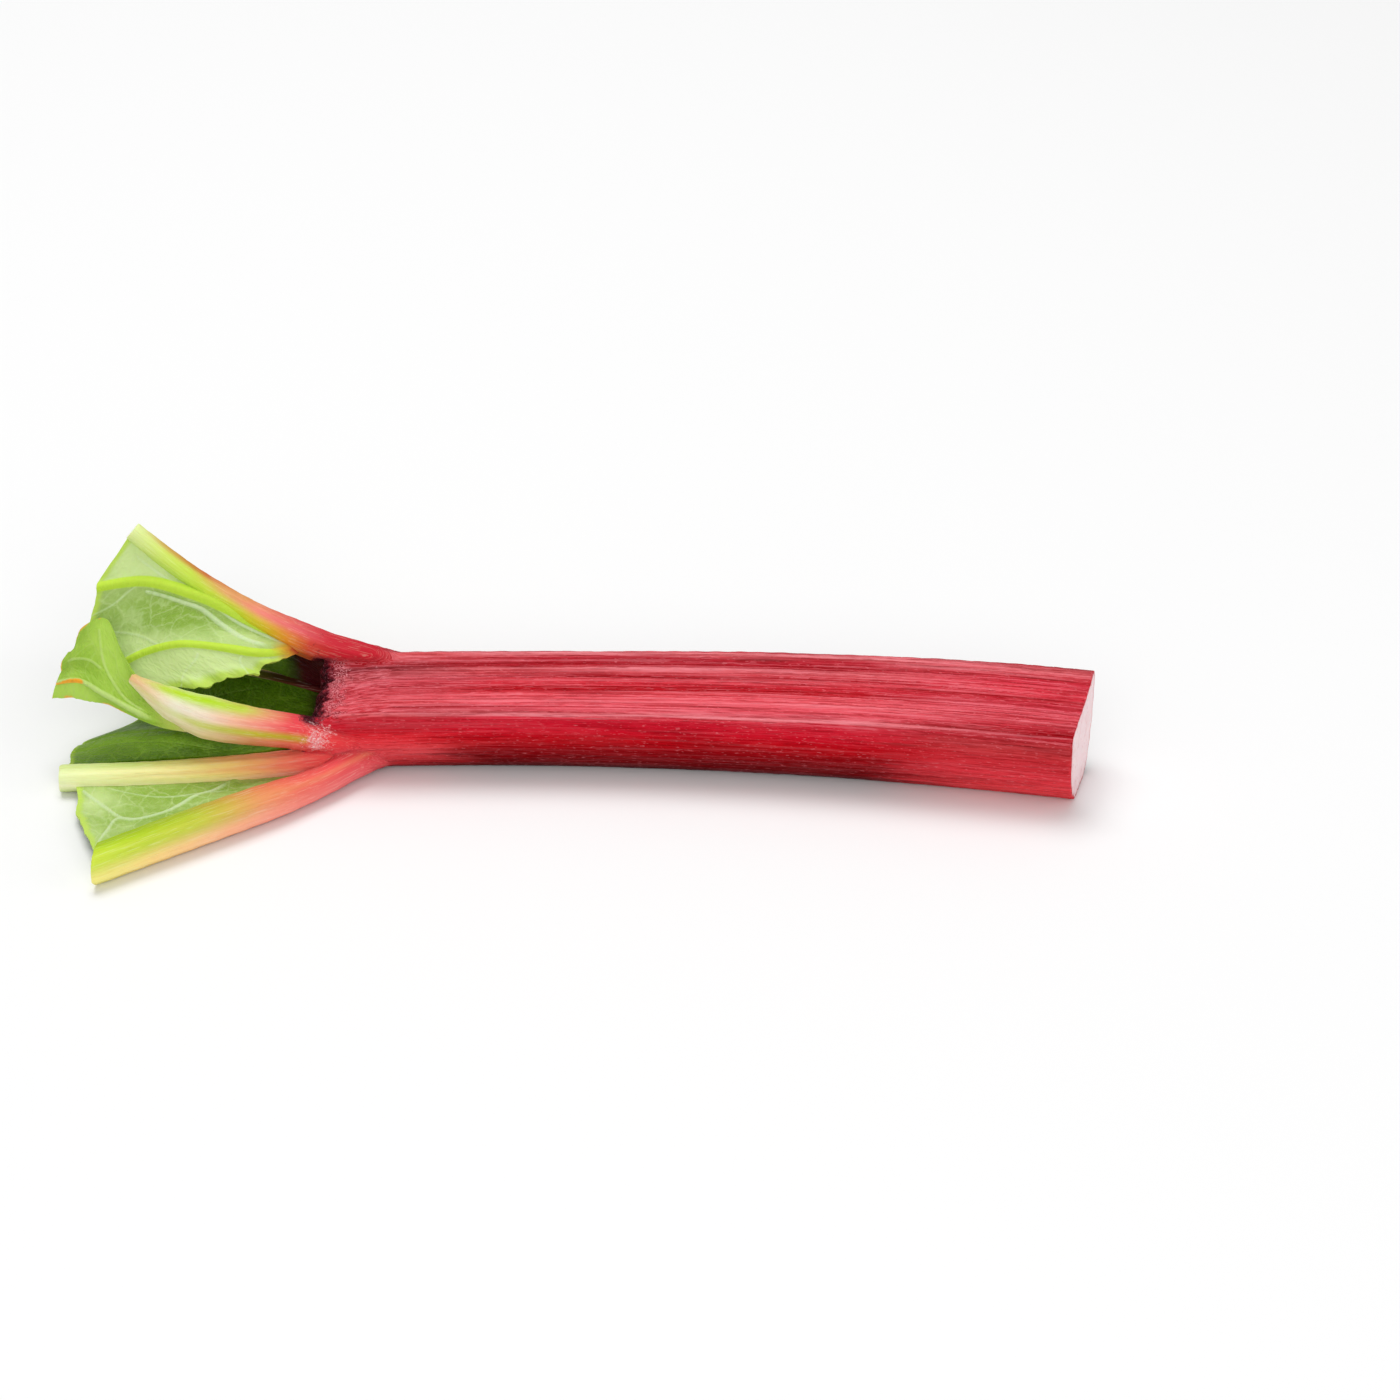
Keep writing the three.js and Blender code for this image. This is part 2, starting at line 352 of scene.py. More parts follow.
stalk = {
    "length": 243.0,
    "crownScale": 0.9,
    "taperFrom": 50.0,
    "bow": 0.00055,
    "bowMiddle": 115.0,
    "bowPeak": 1.2,
    "cutSlant": math.tan(math.radians(11.7)),
    "butt": (200, 205),  # between these the thick end begins
    "cell": 0.742,  # the skin's mesh is remade with faces this wide
    "soften": {"least": 0.12, "factor": 0.6, "passes": 14},  # smoothing, least of all along the stalk
    "lips": [(0.4, 1.1, 0.5), (34.6, 1.2, 0.45)],  # place round the girth, half width, height
    "grooves": [(30.6, 1.3, 0.5), (24.0, 1.0, 0.3), (16.3, 1.5, 0.38), (-7.5, 1.6, 0.25)],  # and depth
    "callus": ((1.0, -23.5, 17.0), (5.6, 4.6, 5.0)),  # scarred skin where two ribs part: place, reach
    "crease": 50,  # degrees; edges sharper than this stay crisp
    "heart": (0.0, 16.0),  # well inside the girth
    "girth": [
        (-17.5, 24.6), (-17.0, 27.0), (-15.0, 28.2), (-8.0, 29.2), (0.0, 30.0), (8.0, 31.2),
        (14.6, 32.9), (17.0, 33.2), (18.1, 31.4), (18.3, 26.0), (16.8, 15.0), (12.6, 5.0),
        (7.0, -0.2), (0.0, -0.5), (-6.8, -0.2), (-12.4, 3.6), (-16.4, 11.0), (-17.7, 19.0),
    ],
}

# Each rib: its centre line and half width, and which way its outer side faces. Its colour
# runs along X, and lengthwise bands lie over it. A band is its place across the rib, 1 on the
# outer side and -1 on the inner side, its half width, and its run of (x, colour, strength).
# two of the bands below are painted shade, marked where they lie
ribs = {
    "upper": {
        "line": [(34, 9.6, 22.6), (14, 10.6, 26.6), (-4, 10.8, 32), (-22, 11.8, 40.4), (-39, 13.8, 50.3),
                 (-51, 15.4, 59), (-62, 17, 68)],
        "radius": [3.9, 5.4, 5.3, 4.1, 3.4, 3, 2.9],
        "outer": (0.65, 0.41, 0.64),
        "base": [(-62, "#e4f2a4"), (-52, "#d6ec6c"), (-40, "#cae84a"), (-28, "#c8dc34"), (-19, "#e0c62c"),
                 (-12, "#ee9c30"), (-5, "#e0503a"), (3, "#d02634"), (20, "#c4182a")],
        "bands": [
            (1, 0.32, [(-60, "#c9603a", 0), (-54, "#c9603a", 0.6), (-40, "#c6402a", 0.9),
                       (-28, "#d9604a", 0.6), (-16, "#d04a4a", 0.9), (0, "#c22434", 1)]),
            (0.55, 0.5, [(-44, "#e89a6c", 0), (-34, "#ec9878", 0.7), (-22, "#f08a7c", 1),
                         (-10, "#e2666a", 1), (0, "#cc3440", 1), (16, "#c22434", 0.6)]),
            (-0.9, 0.3, [(-62, "#cfe48c", 0.5), (-40, "#9cc21e", 0.5), (-20, "#a8b81c", 0.5),
                         (-10, "#c8902a", 0.4), (0, "#b0202a", 0.6)]),
        ],
    },
    "near": {
        "line": [(20, -13, 14.5), (5, -17.8, 14.8), (-8, -22, 18.6), (-20, -24, 21.2), (-33, -23.4, 23.2),
                 (-44, -21.3, 26.2), (-52, -19.2, 30), (-58, -17.4, 33.2)],
        "radius": [4.6, 5.6, 5.3, 5.8, 6.3, 5, 2.8, 1.4],
        "outer": (0, 0.5, 0.86),
        "base": [(-58, "#ecb888"), (-50, "#f6dcb6"), (-42, "#fff6e4"), (-33, "#fde6d4"), (-24, "#fabca4"),
                 (-16, "#f68a80"), (-9, "#f0585e"), (0, "#ee4448"), (8, "#ea4448"), (18, "#d8303a")],
        "bands": [
            (0.85, 0.42, [(-56, "#c9bf5a", 0.4), (-48, "#bada34", 1), (-34, "#b2da22", 1),
                          (-22, "#b6d432", 0.9), (-14, "#d2a866", 0.6), (-7, "#d8404a", 0.6)]),
            (-0.42, 0.24, [(-46, "#d8dc7c", 0.5), (-34, "#d6dc62", 0.9), (-20, "#c9cc3a", 1),
                           (-8, "#bfae2c", 1), (-3.5, "#c9a83c", 0.9), (-1, "#d2323e", 0)]),
            (-0.95, 0.3, [(-46, "#f8ecc4", 0.9), (-30, "#f4d8a0", 0.8), (-18, "#d09652", 0.7),
                          (-8, "#e48866", 0.6), (0, "#e8606a", 0.5)]),
        ],
    },
    "long": {
        "line": [(26, -12, 8), (8, -17.5, 6.4), (-8, -21.2, 5.2), (-28, -25.4, 4.8), (-52, -29.5, 4.5),
                 (-80, -32.6, 4.2)],
        "radius": [4, 4.8, 4.8, 4.6, 4.3, 4.2],
        "outer": (0, 0.5, 0.86),
        "base": [(-80, "#eef8b8"), (-66, "#f8fab4"), (-50, "#fff6aa"), (-36, "#ffee94"), (-26, "#ffdc84"),
                 (-18, "#ffc07a"), (-11, "#ff9c76"), (-3, "#fc6c62"), (8, "#f45458"), (22, "#d02c36")],
        "bands": [
            (0.9, 0.28, [(-80, "#cfe28e", 0.8), (-56, "#bcd066", 0.9), (-40, "#ccbc60", 0.8),
                         (-30, "#e8965c", 0.7), (-16, "#f48a6c", 0.6), (-2, "#f87c68", 0.6)]),
            (0.1, 0.18, [(-70, "#f6dfa4", 0), (-44, "#fac090", 0.35), (-28, "#f89c74", 0.4),
                         (-12, "#f0665a", 0.4), (0, "#e8484c", 0.2)]),
            (-0.55, 0.22, [(-80, "#f8f6cc", 0.7), (-50, "#fbf0b4", 0.7), (-26, "#ffe6b0", 0.6),
                           (-12, "#ffb8a0", 0.7), (-4, "#f49a94", 0.6), (4, "#e05a60", 0)]),
            (-1, 0.25, [(-80, "#c4d888", 0.7), (-50, "#d2d47c", 0.6), (-20, "#d89a6c", 0.6),
                        (0, "#c43a44", 0.5)]),
        ],
    },
    "front": {
        "line": [(36, -6, 7.4), (18, -15, 6.4), (1, -33.6, 5.5), (-14, -47, 5.8), (-36, -65.6, 5.9),
                 (-58, -84.6, 5.8)],
        "radius": [4.2, 4.7, 4.9, 5.8, 6, 5.8],
        "outer": (-0.38, 0.44, 0.81),
        "base": [(-60, "#c6e23a"), (-46, "#b4d22c"), (-32, "#b8c838"), (-23, "#ccb44a"), (-14, "#e89460"),
                 (-4, "#ee6e5e"), (8, "#e85458"), (20, "#d83c46"), (34, "#bc1e2c")],
        "bands": [
            (-0.85, 0.62, [(-60, "#fbf290", 0.9), (-44, "#ffdc90", 1), (-28, "#ffc496", 1),
                           (-14, "#fca68e", 1), (-2, "#f88a80", 1), (10, "#ee7074", 1),
                           (22, "#dc5058", 0.6)]),
            # painted shade: a thin dark line along the top of the rib
            (0.95, 0.25, [(-60, "#8fb41c", 0.7), (-34, "#96ac2c", 0.6), (-22, "#c89048", 0.5),
                          (-8, "#d85a4c", 0.5), (6, "#cc3a44", 0.5)]),
            (0.3, 0.2, [(-60, "#d6e85c", 0.5), (-30, "#d2d052", 0.4), (-16, "#f0a870", 0.3)]),
        ],
    },
    "back": {
        "line": [(26, 8, 9), (6, 17, 7.6), (-14, 26, 5.6), (-38, 35.5, 4.8), (-60, 42, 4.4)],
        "radius": [4, 4.8, 4.8, 4.4, 4.1],
        "outer": (0.1, 0.9, 0.4),
        "base": [(-60, "#d4e68c"), (-46, "#cfdc6a"), (-32, "#dcc868"), (-20, "#e6a068"), (-10, "#de6a58"),
                 (0, "#cc3c46"), (12, "#b82232")],
        "bands": [
            (0.9, 0.4, [(-60, "#b4cc4a", 0.7), (-30, "#b8b44a", 0.6), (-14, "#c8604a", 0.6),
                        (4, "#b42434", 0.6)]),
            # painted shade: the side that faces the crown's hollow goes olive, maroon and near black
            (0.1, 0.8, [(-60, "#c0d674", 0.6), (-36, "#6c8020", 0.95), (-20, "#3c2c10", 1),
                        (-6, "#420a12", 1), (2, "#30060c", 1), (14, "#7c0e1a", 0.8)]),
        ],
    },
}


def axisY(x):
    return stalk["bowPeak"] - stalk["bow"] * (x - stalk["bowMiddle"]) ** 2


def girthScale(x):
    return stalk["crownScale"] + (1 - stalk["crownScale"]) * step(x, stalk["taperFrom"], stalk["length"])


def skinFromSolid():
    source = frame["nodes"]["stalk"]
    mesh = source.data.copy()
    mesh.materials.clear()
    skin = bpy.data.objects.new("stalk_skin", mesh)
    bpy.context.scene.collection.objects.link(skin)
    only(skin)
    bpy.ops.object.mode_set(mode="EDIT")
    bpy.ops.mesh.select_all(action="SELECT")
    bpy.ops.mesh.remove_doubles(threshold=0.00002)  # metres; the solid is loose triangles
    bpy.ops.object.mode_set(mode="OBJECT")
    applyModifier(skin, "REMESH", {"mode": "VOXEL", "voxel_size": stalk["cell"] * mm})
    return skin


def softenCrown(skin):  # the ribs flow out of the stalk instead of meeting it in a crease
    x = readPoints(skin)[:, 0]
    group = skin.vertex_groups.new(name="soften")
    soften = stalk["soften"]
    share = np.maximum(soften["least"], step(x, 46, 12) * (0.25 + 0.75 * step(x, -30, -6)))
    for level in range(1, 11):  # in tenths
        chosen = np.nonzero(np.round(share * 10) == level)[0].tolist()
        if chosen:
            group.add(chosen, level / 10, "REPLACE")
    settings = {"factor": soften["factor"], "iterations": soften["passes"], "vertex_group": "soften"}
    applyModifier(skin, "SMOOTH", settings)
    skin.vertex_groups.clear()


def measureSkin(points):  # each point's place round the girth and along the fibres, and its rib
    x = points[:, 0]
    scale = girthScale(x)
    flat = np.column_stack([(points[:, 1] - axisY(x)) / scale, points[:, 2] / scale])
    outline, run, whole = closedLine(stalk["girth"], 600)
    at, away = nearest(flat, outline)
    girth = run[at]
    girth = np.where(girth > whole / 2, girth - whole, girth)
    inside = ((flat - stalk["heart"]) ** 2).sum(1) < ((outline[at] - stalk["heart"]) ** 2).sum(1)
    stalkGap = np.where(inside, -away, away) * scale + np.maximum(0, -3.0 - x) * 2
    fibre = np.column_stack([x, flat])
    best = np.full(len(points), 1e9)  # the gap to the closest rib so far
    onRib = np.zeros(len(points))
    paint = np.zeros((len(points), 3))
    samples = np.linspace(0, 1, 160)
    for rib in ribs.values():
        line = smoothLine(rib["line"], samples)
        radius = np.interp(samples * (len(rib["radius"]) - 1), range(len(rib["radius"])), rib["radius"])
        at, away = nearest(points, line)
        tangent = unit(np.gradient(line, axis=0))
        outer = unit(np.array(rib["outer"]) - (tangent @ np.array(rib["outer"]))[:, None] * tangent)
        across = np.cross(tangent, outer)
        offset = points - line[at]
        outward = (offset * outer[at]).sum(1)
        ribGap = away - radius[at]
        closer = ribGap < best
        best = np.where(closer, ribGap, best)
        length = np.concatenate([[0], np.cumsum(np.linalg.norm(np.diff(line, axis=0), axis=1))])
        straight = np.column_stack([  # the point's place if the rib were straightened
            line[0, 0] - length[at],
            line[0, 1] + (offset * across[at]).sum(1),
            line[0, 2] + outward,
        ])
        own = step(stalkGap - ribGap, -0.6, 1.6) * step(x, 30, 14)
        onRib = np.where(closer, own, onRib)
        carried = fibre * (1 - own[:, None]) + straight * own[:, None]
        fibre = np.where((closer & (own > 0))[:, None], carried, fibre)
        paint = np.where(closer[:, None], paintRib(rib, line[at, 0], outward / radius[at]), paint)
    return girth, fibre, onRib, paint


def colourRun(x, places, colours):  # a colour that changes along X
    parts = np.array([linear(colour) for colour in colours]).T
    return np.column_stack([np.interp(x, places, part) for part in parts])


def paintRib(rib, x, side):
    paint = colourRun(x, *zip(*rib["base"]))
    for at, wide, run in rib["bands"]:
        places, colours, strengths = zip(*run)
        share = (np.interp(x, places, strengths) * bell(side - at, wide))[:, None]
        paint = paint * (1 - share) + colourRun(x, places, colours) * share
    return paint


knifeCuts = [  # each cut's place and direction, the box of skin it goes through, and its net's cell
    ((stalk["length"] - 0.25, axisY(stalk["length"]), 16), (1, -stalk["cutSlant"], 0),
     (200, -60, -5), (270, 60, 60), 0.8),
    ((-79.7, -32.6, 4.2), (-1, -0.11, 0), (-95, -50, -5), (-70, -20, 14), 0.6),
    ((-57.6, -84.6, 5.8), (-1, 0, 0), (-80, -110, -5), (-45, -70, 16), 0.6),
    ((-59.6, 42, 4.4), (-1, 0, 0), (-75, 30, -5), (-50, 60, 16), 0.6),
    ((-61.7, 17, 67.7), (-0.76, 0.11, 0.64), (-80, 5, 58), (-52, 30, 80), 0.5),
]
rimWeld = 0.25  # mm; points of a cut's rim closer than this are one
rowHeight = 0.87  # rows of an even net of triangles lie this much of a cell apart
rimRoom = 0.6  # the net keeps this much of a cell from the rim


def insideOf(spots, start, end):  # which spots lie inside a closed outline of straight edges
    crossings = np.zeros(len(spots), int)
    for a, b in zip(start, end):
        spans = (a[1] > spots[:, 1]) != (b[1] > spots[:, 1])
        where = a[0] + (spots[:, 1] - a[1]) * (b[0] - a[0]) / (b[1] - a[1] + 1e-12)
        crossings += spans & (spots[:, 0] < where)
    return crossings % 2 == 1


def each(elements):  # once each, in the order they come
    return list(dict.fromkeys(elements))


def cutEnd(skin, slot, place, normal, low, high, cell):  # a crisp knife cut, closed with an even net of faces
    normal = Vector(normal).normalized()
    place = Vector(world(place))
    low, high = world(low), world(high)
    net = bmesh.new()
    net.from_mesh(skin.data)
    near = [f for f in net.faces if all(low[k] < f.calc_center_median()[k] < high[k] for k in range(3))]
    parts = each(v for f in near for v in f.verts) + each(e for f in near for e in f.edges) + near
    bmesh.ops.bisect_plane(net, geom=parts, plane_co=place, plane_no=normal, clear_outer=True)
    rim = each(v for e in net.edges if e.is_boundary for v in e.verts)
    bmesh.ops.remove_doubles(net, verts=rim, dist=rimWeld * mm)
    across = normal.orthogonal().normalized()
    upward = normal.cross(across)
    edges = [e for e in net.edges if e.is_boundary]
    rim = each(v for e in edges for v in e.verts)
    number = {v: i for i, v in enumerate(rim)}
    flat = np.array([((v.co - place).dot(across), (v.co - place).dot(upward)) for v in rim]) / mm
    pairs = [(number[e.verts[0]], number[e.verts[1]]) for e in edges]
    start, end = flat[[a for a, b in pairs]], flat[[b for a, b in pairs]]
    (left, bottom), (right, top) = flat.min(0), flat.max(0)
    grid = np.array([(x + (row % 2) * cell / 2, y)
                     for row, y in enumerate(np.arange(bottom, top, cell * rowHeight))
                     for x in np.arange(left, right, cell)])
    grid = grid[insideOf(grid, start, end)]
    away = nearest(grid, (start + end) / 2)[1]
    grid = grid[away > cell * rimRoom]
    spots = [Vector(p) for p in flat] + [Vector(p) for p in grid]
    found = delaunay_2d_cdt(spots, pairs, [], 1, 1e-6)
    flatSpots, triangles, origins = found[0], found[2], found[3]
    corners = [rim[origin[0]] if origin and origin[0] < len(rim)
               else net.verts.new(place + across * spot.x * mm + upward * spot.y * mm)
               for spot, origin in zip(flatSpots, origins)]
    for triangle in triangles:
        ends = [corners[k] for k in triangle]
        if net.faces.get(ends):  # a sliver that the knife left is its own lid
            continue
        face = net.faces.new(ends)
        face.normal_update()
        if face.normal.dot(normal) < 0:
            face.normal_flip()
        face.material_index = slot
    net.to_mesh(skin.data)
    net.free()


skin = skinFromSolid()
print("skin faces", len(skin.data.polygons))
softenCrown(skin)


def scarring(points):
    place, reach = stalk["callus"]
    return np.exp(-(((points - place) / reach) ** 2).sum(1))


def raiseRidges(skin):  # low relief that runs with the fibres, and the sharp lips of the channelled face
    points, normals = readPoints(skin), readVertices(skin, "normal")
    girth, fibre, onRib = measureSkin(points)[:3]
    x, y, z = points.T
    along, fy, fz = fibre.T
    drift = 0.7 * np.sin(along / 41 + girth * 0.21) + 0.4 * np.sin(along / 17 + girth * 0.6)
    stripes = 0.13 * np.sin(2 * np.pi * (girth + drift) / 2.7)
    stripes += 0.08 * np.sin(2 * np.pi * (girth - drift) / 1.9 + 1)
    lips = sum(height * bell(girth - place, width) for place, width, height in stalk["lips"])
    drifted = girth + 0.5 * drift
    grooves = sum(depth * bell(drifted - place, width) for place, width, depth in stalk["grooves"])
    onStalk = (stripes + lips - grooves) * (1 - onRib) * step(along, 0, 14)
    cords = 0.14 * np.sin(2.3 * fy + 0.7 * fz + np.sin(along / 19)) + 0.08 * np.sin(3.4 * fz - 1.2 * fy + 2)
    lumps = 0.12 * np.sin(x * 0.9 + fz) * np.sin(z * 0.8 + fy * 0.5)
    knobs = 0.55 * scarring(points) * np.sin(x * 1.7) * np.sin(z * 1.9 + 1)
    shrunk = 0.35 * onRib * step(x, 4, -8)  # the smoothing took this much off the ribs
    height = onStalk + cords * onRib + lumps * 0.5 + knobs + shrunk
    height = height * step(z, 0.0, 1.5)  # what lies on the table stays flat
    height = height * (1 - step(x, *stalk["butt"]) * step(normals[:, 0], 0.4, 0.75))  # and the cut end
    points = points + normals * height[:, None]
    x, y, z = points.T
    uneven = 0.8 + 0.22 * np.sin(y * 0.7 + 1) + 0.16 * np.sin(y * 1.9) + 0.1 * np.sin(y * 4.3)
    drawnBack = (1 - onRib) * step(z, 9, 20) * step(x, 8, -3)
    points[:, 0] += 3.8 * uneven * drawnBack  # the rim of the mouth is hollow in the middle
    points[:, 2] = np.maximum(points[:, 2], 0.0)
    writePoints(skin, points)


def markSkin(skin):  # what the two materials read at each point
    points, normals = readPoints(skin), readVertices(skin, "normal")
    girth, fibre, onRib, ribPaint = measureSkin(points)
    x, z = points[:, 0], points[:, 2]
    facesLeaf = step(-normals[:, 0], 0.2, 0.6) * step(x, 9, 5) * step(x, -8, -5)
    rimward = step(x, 5.5, -0.5) * step(x, -8, -5) * step(z, 12, 16)
    onFace = step(girth, -1.5, 1.5) * step(girth, 38, 33) * step(z, 18, 22)
    inGroove = 0.35 * bell(girth - 30, 1.6) * step(x, 50, 10)
    cut = np.zeros(len(points), bool)
    skinSide = np.zeros(len(points), bool)
    for face in skin.data.polygons:
        (cut if face.material_index else skinSide)[list(face.vertices)] = True
    cutDepth = np.zeros(len(points))
    cutDepth[cut] = nearest(points[cut], points[cut & skinSide])[1]
    atButt = points[:, :1] > stalk["butt"][0]
    store(skin, {
        "girth": girth,
        "along": x,
        "fibre": fibre,
        "ribShare": onRib,
        "ribPaint": opaque(ribPaint),
        # the underside, where the skin is darkened: partly its own deeper red, partly painted shade
        "belly": step(np.abs(girth), 40, 50),
        # the hollow mouth at the crown, where painted shade goes
        "mouth": np.maximum(facesLeaf, rimward) * (1 - 0.85 * onRib),
        "speckle": np.maximum(onFace * step(x, 14, 2.0), inGroove * onFace) * (1 - onRib),
        "callus": scarring(points),
        "cutDepth": cutDepth,
        "fleshPaint": opaque(np.where(atButt, linear("#fbd9dc"), linear("#e9f1c8"))),
        "rimPaint": opaque(np.where(atButt, linear("#c42c3c"), ribPaint)),
    })


# colours round the girth from the near edge of the channelled face, in mm, at three places along it. They
# hold painted light: pink sheen across the upper face, painted highlight lines just inside both lips, and
# painted shade that darkens the lower near side and the underside
girthColoursWithPaintedLight = {
    "crown": [
        (-57, "#4a060c"), (-34, "#5c060c"), (-26, "#8e1218"), (-20, "#d0363c"), (-14, "#ec5056"),
        (-8, "#ee323c"), (-3.5, "#d2182a"), (-1, "#d42838"), (0.8, "#d22c3a"), (2, "#ec7076"),
        (3.6, "#d03844"), (7, "#e4505a"), (14, "#d63e4a"), (21, "#dc5460"), (24.5, "#cc5860"),
        (27, "#b8424a"), (28.4, "#7c0c18"), (29.8, "#b44850"), (31.5, "#b80a1c"), (34.6, "#e65c60"),
        (37, "#b00c20"), (57, "#5c0810"),
    ],
    "middle": [
        (-57, "#480509"), (-36, "#400206"), (-30, "#420105"), (-24, "#5c0005"), (-18, "#7c0007"),
        (-13, "#98000c"), (-8, "#c60416"), (-4.5, "#d80e28"), (-1.2, "#d81830"), (0.8, "#da1e36"),
        (1.9, "#f48088"), (3, "#e65a66"), (5, "#ee5664"), (9, "#f45e6a"), (13, "#e84854"),
        (15.4, "#c40a1e"), (17, "#bc0618"), (18.6, "#dc2c3c"), (21.4, "#e24652"), (23.6, "#b80e20"),
        (25.2, "#de4e58"), (27.6, "#e4666e"), (29.4, "#ba1828"), (31.2, "#b81a2a"), (33.2, "#cc303e"),
        (34.7, "#f68c92"), (36.2, "#cc2e3e"), (39, "#a60818"), (48, "#8a0612"), (57, "#5a060c"),
    ],
    "butt": [
        (-57, "#8c0c14"), (-36, "#c0242a"), (-30, "#e2343c"), (-22, "#f2464e"), (-13, "#e63a46"),
        (-7, "#d4303a"), (-4, "#d0383e"), (-1.2, "#ca3a40"), (1, "#c22a36"), (3.4, "#b20a1c"),
        (5, "#ce303e"), (8, "#d84652"), (11, "#e44a58"), (16, "#e04454"), (18.6, "#ca2234"),
        (20.2, "#bc0e20"), (22, "#dc3242"), (25, "#e63e4e"), (29, "#de3a4c"), (31.4, "#ca2434"),
        (34.7, "#f0747c"), (37, "#be1a2a"), (46, "#a00a16"), (57, "#8c0c14"),
    ],
}
halfGirth = 57.0  # mm from the near edge of the face round to the middle of the underside
depthOfRed = 0.9  # all colours of the girth are taken down to this much


def stalkMaterial():
    material, start, shader = newMaterial("rhubarbSkin")
    fibre = start.attribute("fibre", "Vector")
    names = ("girth", "along", "belly", "ribShare", "speckle", "mouth", "callus")
    girth, along, belly, ribShare, speckle, mouth, callus = map(start.attribute, names)

    def grained(lengthwise, crosswise, detail=2.0, rough=0.6):  # long with the fibres, short across them
        return fibre.scaled((lengthwise, crosswise, crosswise)).noise(1.0, detail, rough)

    bands = grained(0.03, 0.85, 3.0, 0.55)
    threads = grained(0.1, 2.6)
    flecks = grained(0.55, 2.4, 1.0, 0.5)
    grain = grained(1.6, 5.0)
    dots = grained(1.1, 1.6)
    patches = grained(0.018, 0.12, 2.0, 0.5)
    streaks = grained(0.014, 1.3)
    fine = grained(2.1, 2.4, 2.0, 0.7)
    blotch = grained(0.45, 0.4)
    streaked = 0.3 + girth.between(-2.0, 2.0) * 0.7
    wander = (bands - 0.5) * 3.4 + (threads - 0.5) * 1.2
    place = (girth + wander + halfGirth) * (1 / (2 * halfGirth))
    # the girth ramps carry painted sheen and lip highlights, and painted shade low on the near side
    reds = {
        name: place.ramp([
            ((at + halfGirth) / (2 * halfGirth), (*(linear(colour) * depthOfRed), 1))
            for at, colour in stops
        ])
        for name, stops in girthColoursWithPaintedLight.items()
    }
    uneven = along + (bands - 0.5) * 60.0
    red = uneven.between(60.0, 25.0).mix(reds["middle"], reds["crown"])
    red = uneven.between(168.0, 212.0).mix(red, reds["butt"])
    red = coats(red, [
        # painted shade over the underside's own deeper red
        (belly * 0.7, "#5c060c"),
        (bands.between(0.56, 0.72) * 0.4, "#8e0716", "MULTIPLY"),
        (threads.between(0.53, 0.66) * 0.5, "#ae2a38", "MULTIPLY"),
        (threads.between(0.47, 0.34) * streaked * 0.2, "#ee7a82", "SCREEN"),
        (patches.between(0.52, 0.66) * streaked * 0.1, "#e88088", "SCREEN"),
        (patches.between(0.48, 0.36) * 0.3, "#a83e5c", "MULTIPLY"),
        (streaks.between(0.53, 0.6) * streaked * 0.5, "#b4242e", "MULTIPLY"),
        (streaks.between(0.46, 0.4) * streaked * 0.3, "#e8808a", "SCREEN"),
    ])
    rib = coats(start.attribute("ribPaint", "Color"), [
        (threads.between(0.52, 0.72) * 0.16, "#e6b490", "MULTIPLY"),
        (bands.between(0.55, 0.75) * 0.16, "#eac09c", "MULTIPLY"),
        (threads.between(0.46, 0.3) * 0.16, "#fff6d8", "SCREEN"),
    ])
    freckled = (speckle + (blotch - 0.5) * 2.2 * speckle.between(0.0, 0.3)).between(0.25, 0.9)
    mouthShade = mouth + ((blotch - 0.5) * 1.6 + (fine - 0.5) * 1.2) * mouth.between(0.0, 0.2)
    scabs = ((blotch - 0.5) * 2.4 + (dots - 0.5) * 1.6) * callus.between(0.0, 0.3)
    scarred = (callus + scabs).between(0.35, 1.0)
    paint = coats(ribShare.mix(red, rib), [
        (flecks.between(0.64, 0.72) * (1 - ribShare) * 0.28, "#f28c94"),
        (freckled * 0.3, "#8c142a"),
        (freckled * fine.between(0.5, 0.6) * 0.7, "#eea0a8"),
        (freckled * fine.between(0.47, 0.38) * 0.75, "#5a0814"),
        # painted shade: the hollow mouth goes deep maroon, then near black
        (mouthShade.between(0.25, 0.8), "#5c0e1c"),
        (mouthShade.between(0.7, 1.1), "#28060c"),
        (mouth.between(0.1, 0.4) * fine.between(0.56, 0.66) * 0.45, "#c0707c"),
        (scarred * 0.65, "#f4a0a4"),
        # painted highlight: small white glints on the scarred patch
        (scarred * fine.between(0.48, 0.6) * 0.8, "#ffe6e0"),
    ])
    relief = bands * 0.5 + threads * 0.75 + grain * 0.2 + dots * (speckle + callus) * 0.8
    rough = 0.34 + threads * 0.22
    finish(shader, paint, rough, relief.bump(0.8, 0.0004), 0.03, 0.06, 0.003, (1.0, 0.35, 0.25))
    return material


def fleshMaterial():  # the wet inside of a cut: pale, pithy, with the ends of the fibres as dots
    material, start, shader = newMaterial("cutFlesh")
    spot = start.node("ShaderNodeTexCoord", {}, {}, "Object")
    pith = spot.noise(700.0, 3.0, 0.6)
    clouds = spot.noise(130.0, 2.0, 0.5)
    cells = spot.cells(420.0)
    rim = start.attribute("rimPaint", "Color")
    depth = start.attribute("cutDepth") + (pith - 0.5) * 0.5
    paint = coats(start.attribute("fleshPaint", "Color"), [
        (clouds.between(0.48, 0.7) * 0.16, rim),
        (pith.between(0.45, 0.75) * 0.35, "#ffffff"),
        (cells.between(0.24, 0.12) * 0.35, rim),
        (depth.between(1.8, 0.7) * 0.25, rim),
        (depth.between(0.75, 0.25), rim),
    ])
    rough = 0.38 + pith * 0.2
    finish(shader, paint, rough, (pith + cells).bump(0.5, 0.0004), 0.5, 0.25, 0.003, (1.0, 0.5, 0.4))
    return material


raiseRidges(skin)
skin.data.materials.append(stalkMaterial())
skin.data.materials.append(fleshMaterial())
for cut in knifeCuts:
    cutEnd(skin, 1, *cut)
markSkin(skin)
only(skin)
bpy.ops.object.shade_smooth_by_angle(angle=math.radians(stalk["crease"]))
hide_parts("stalk")
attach(skin, "root")
print("stalk ready", len(skin.data.polygons))

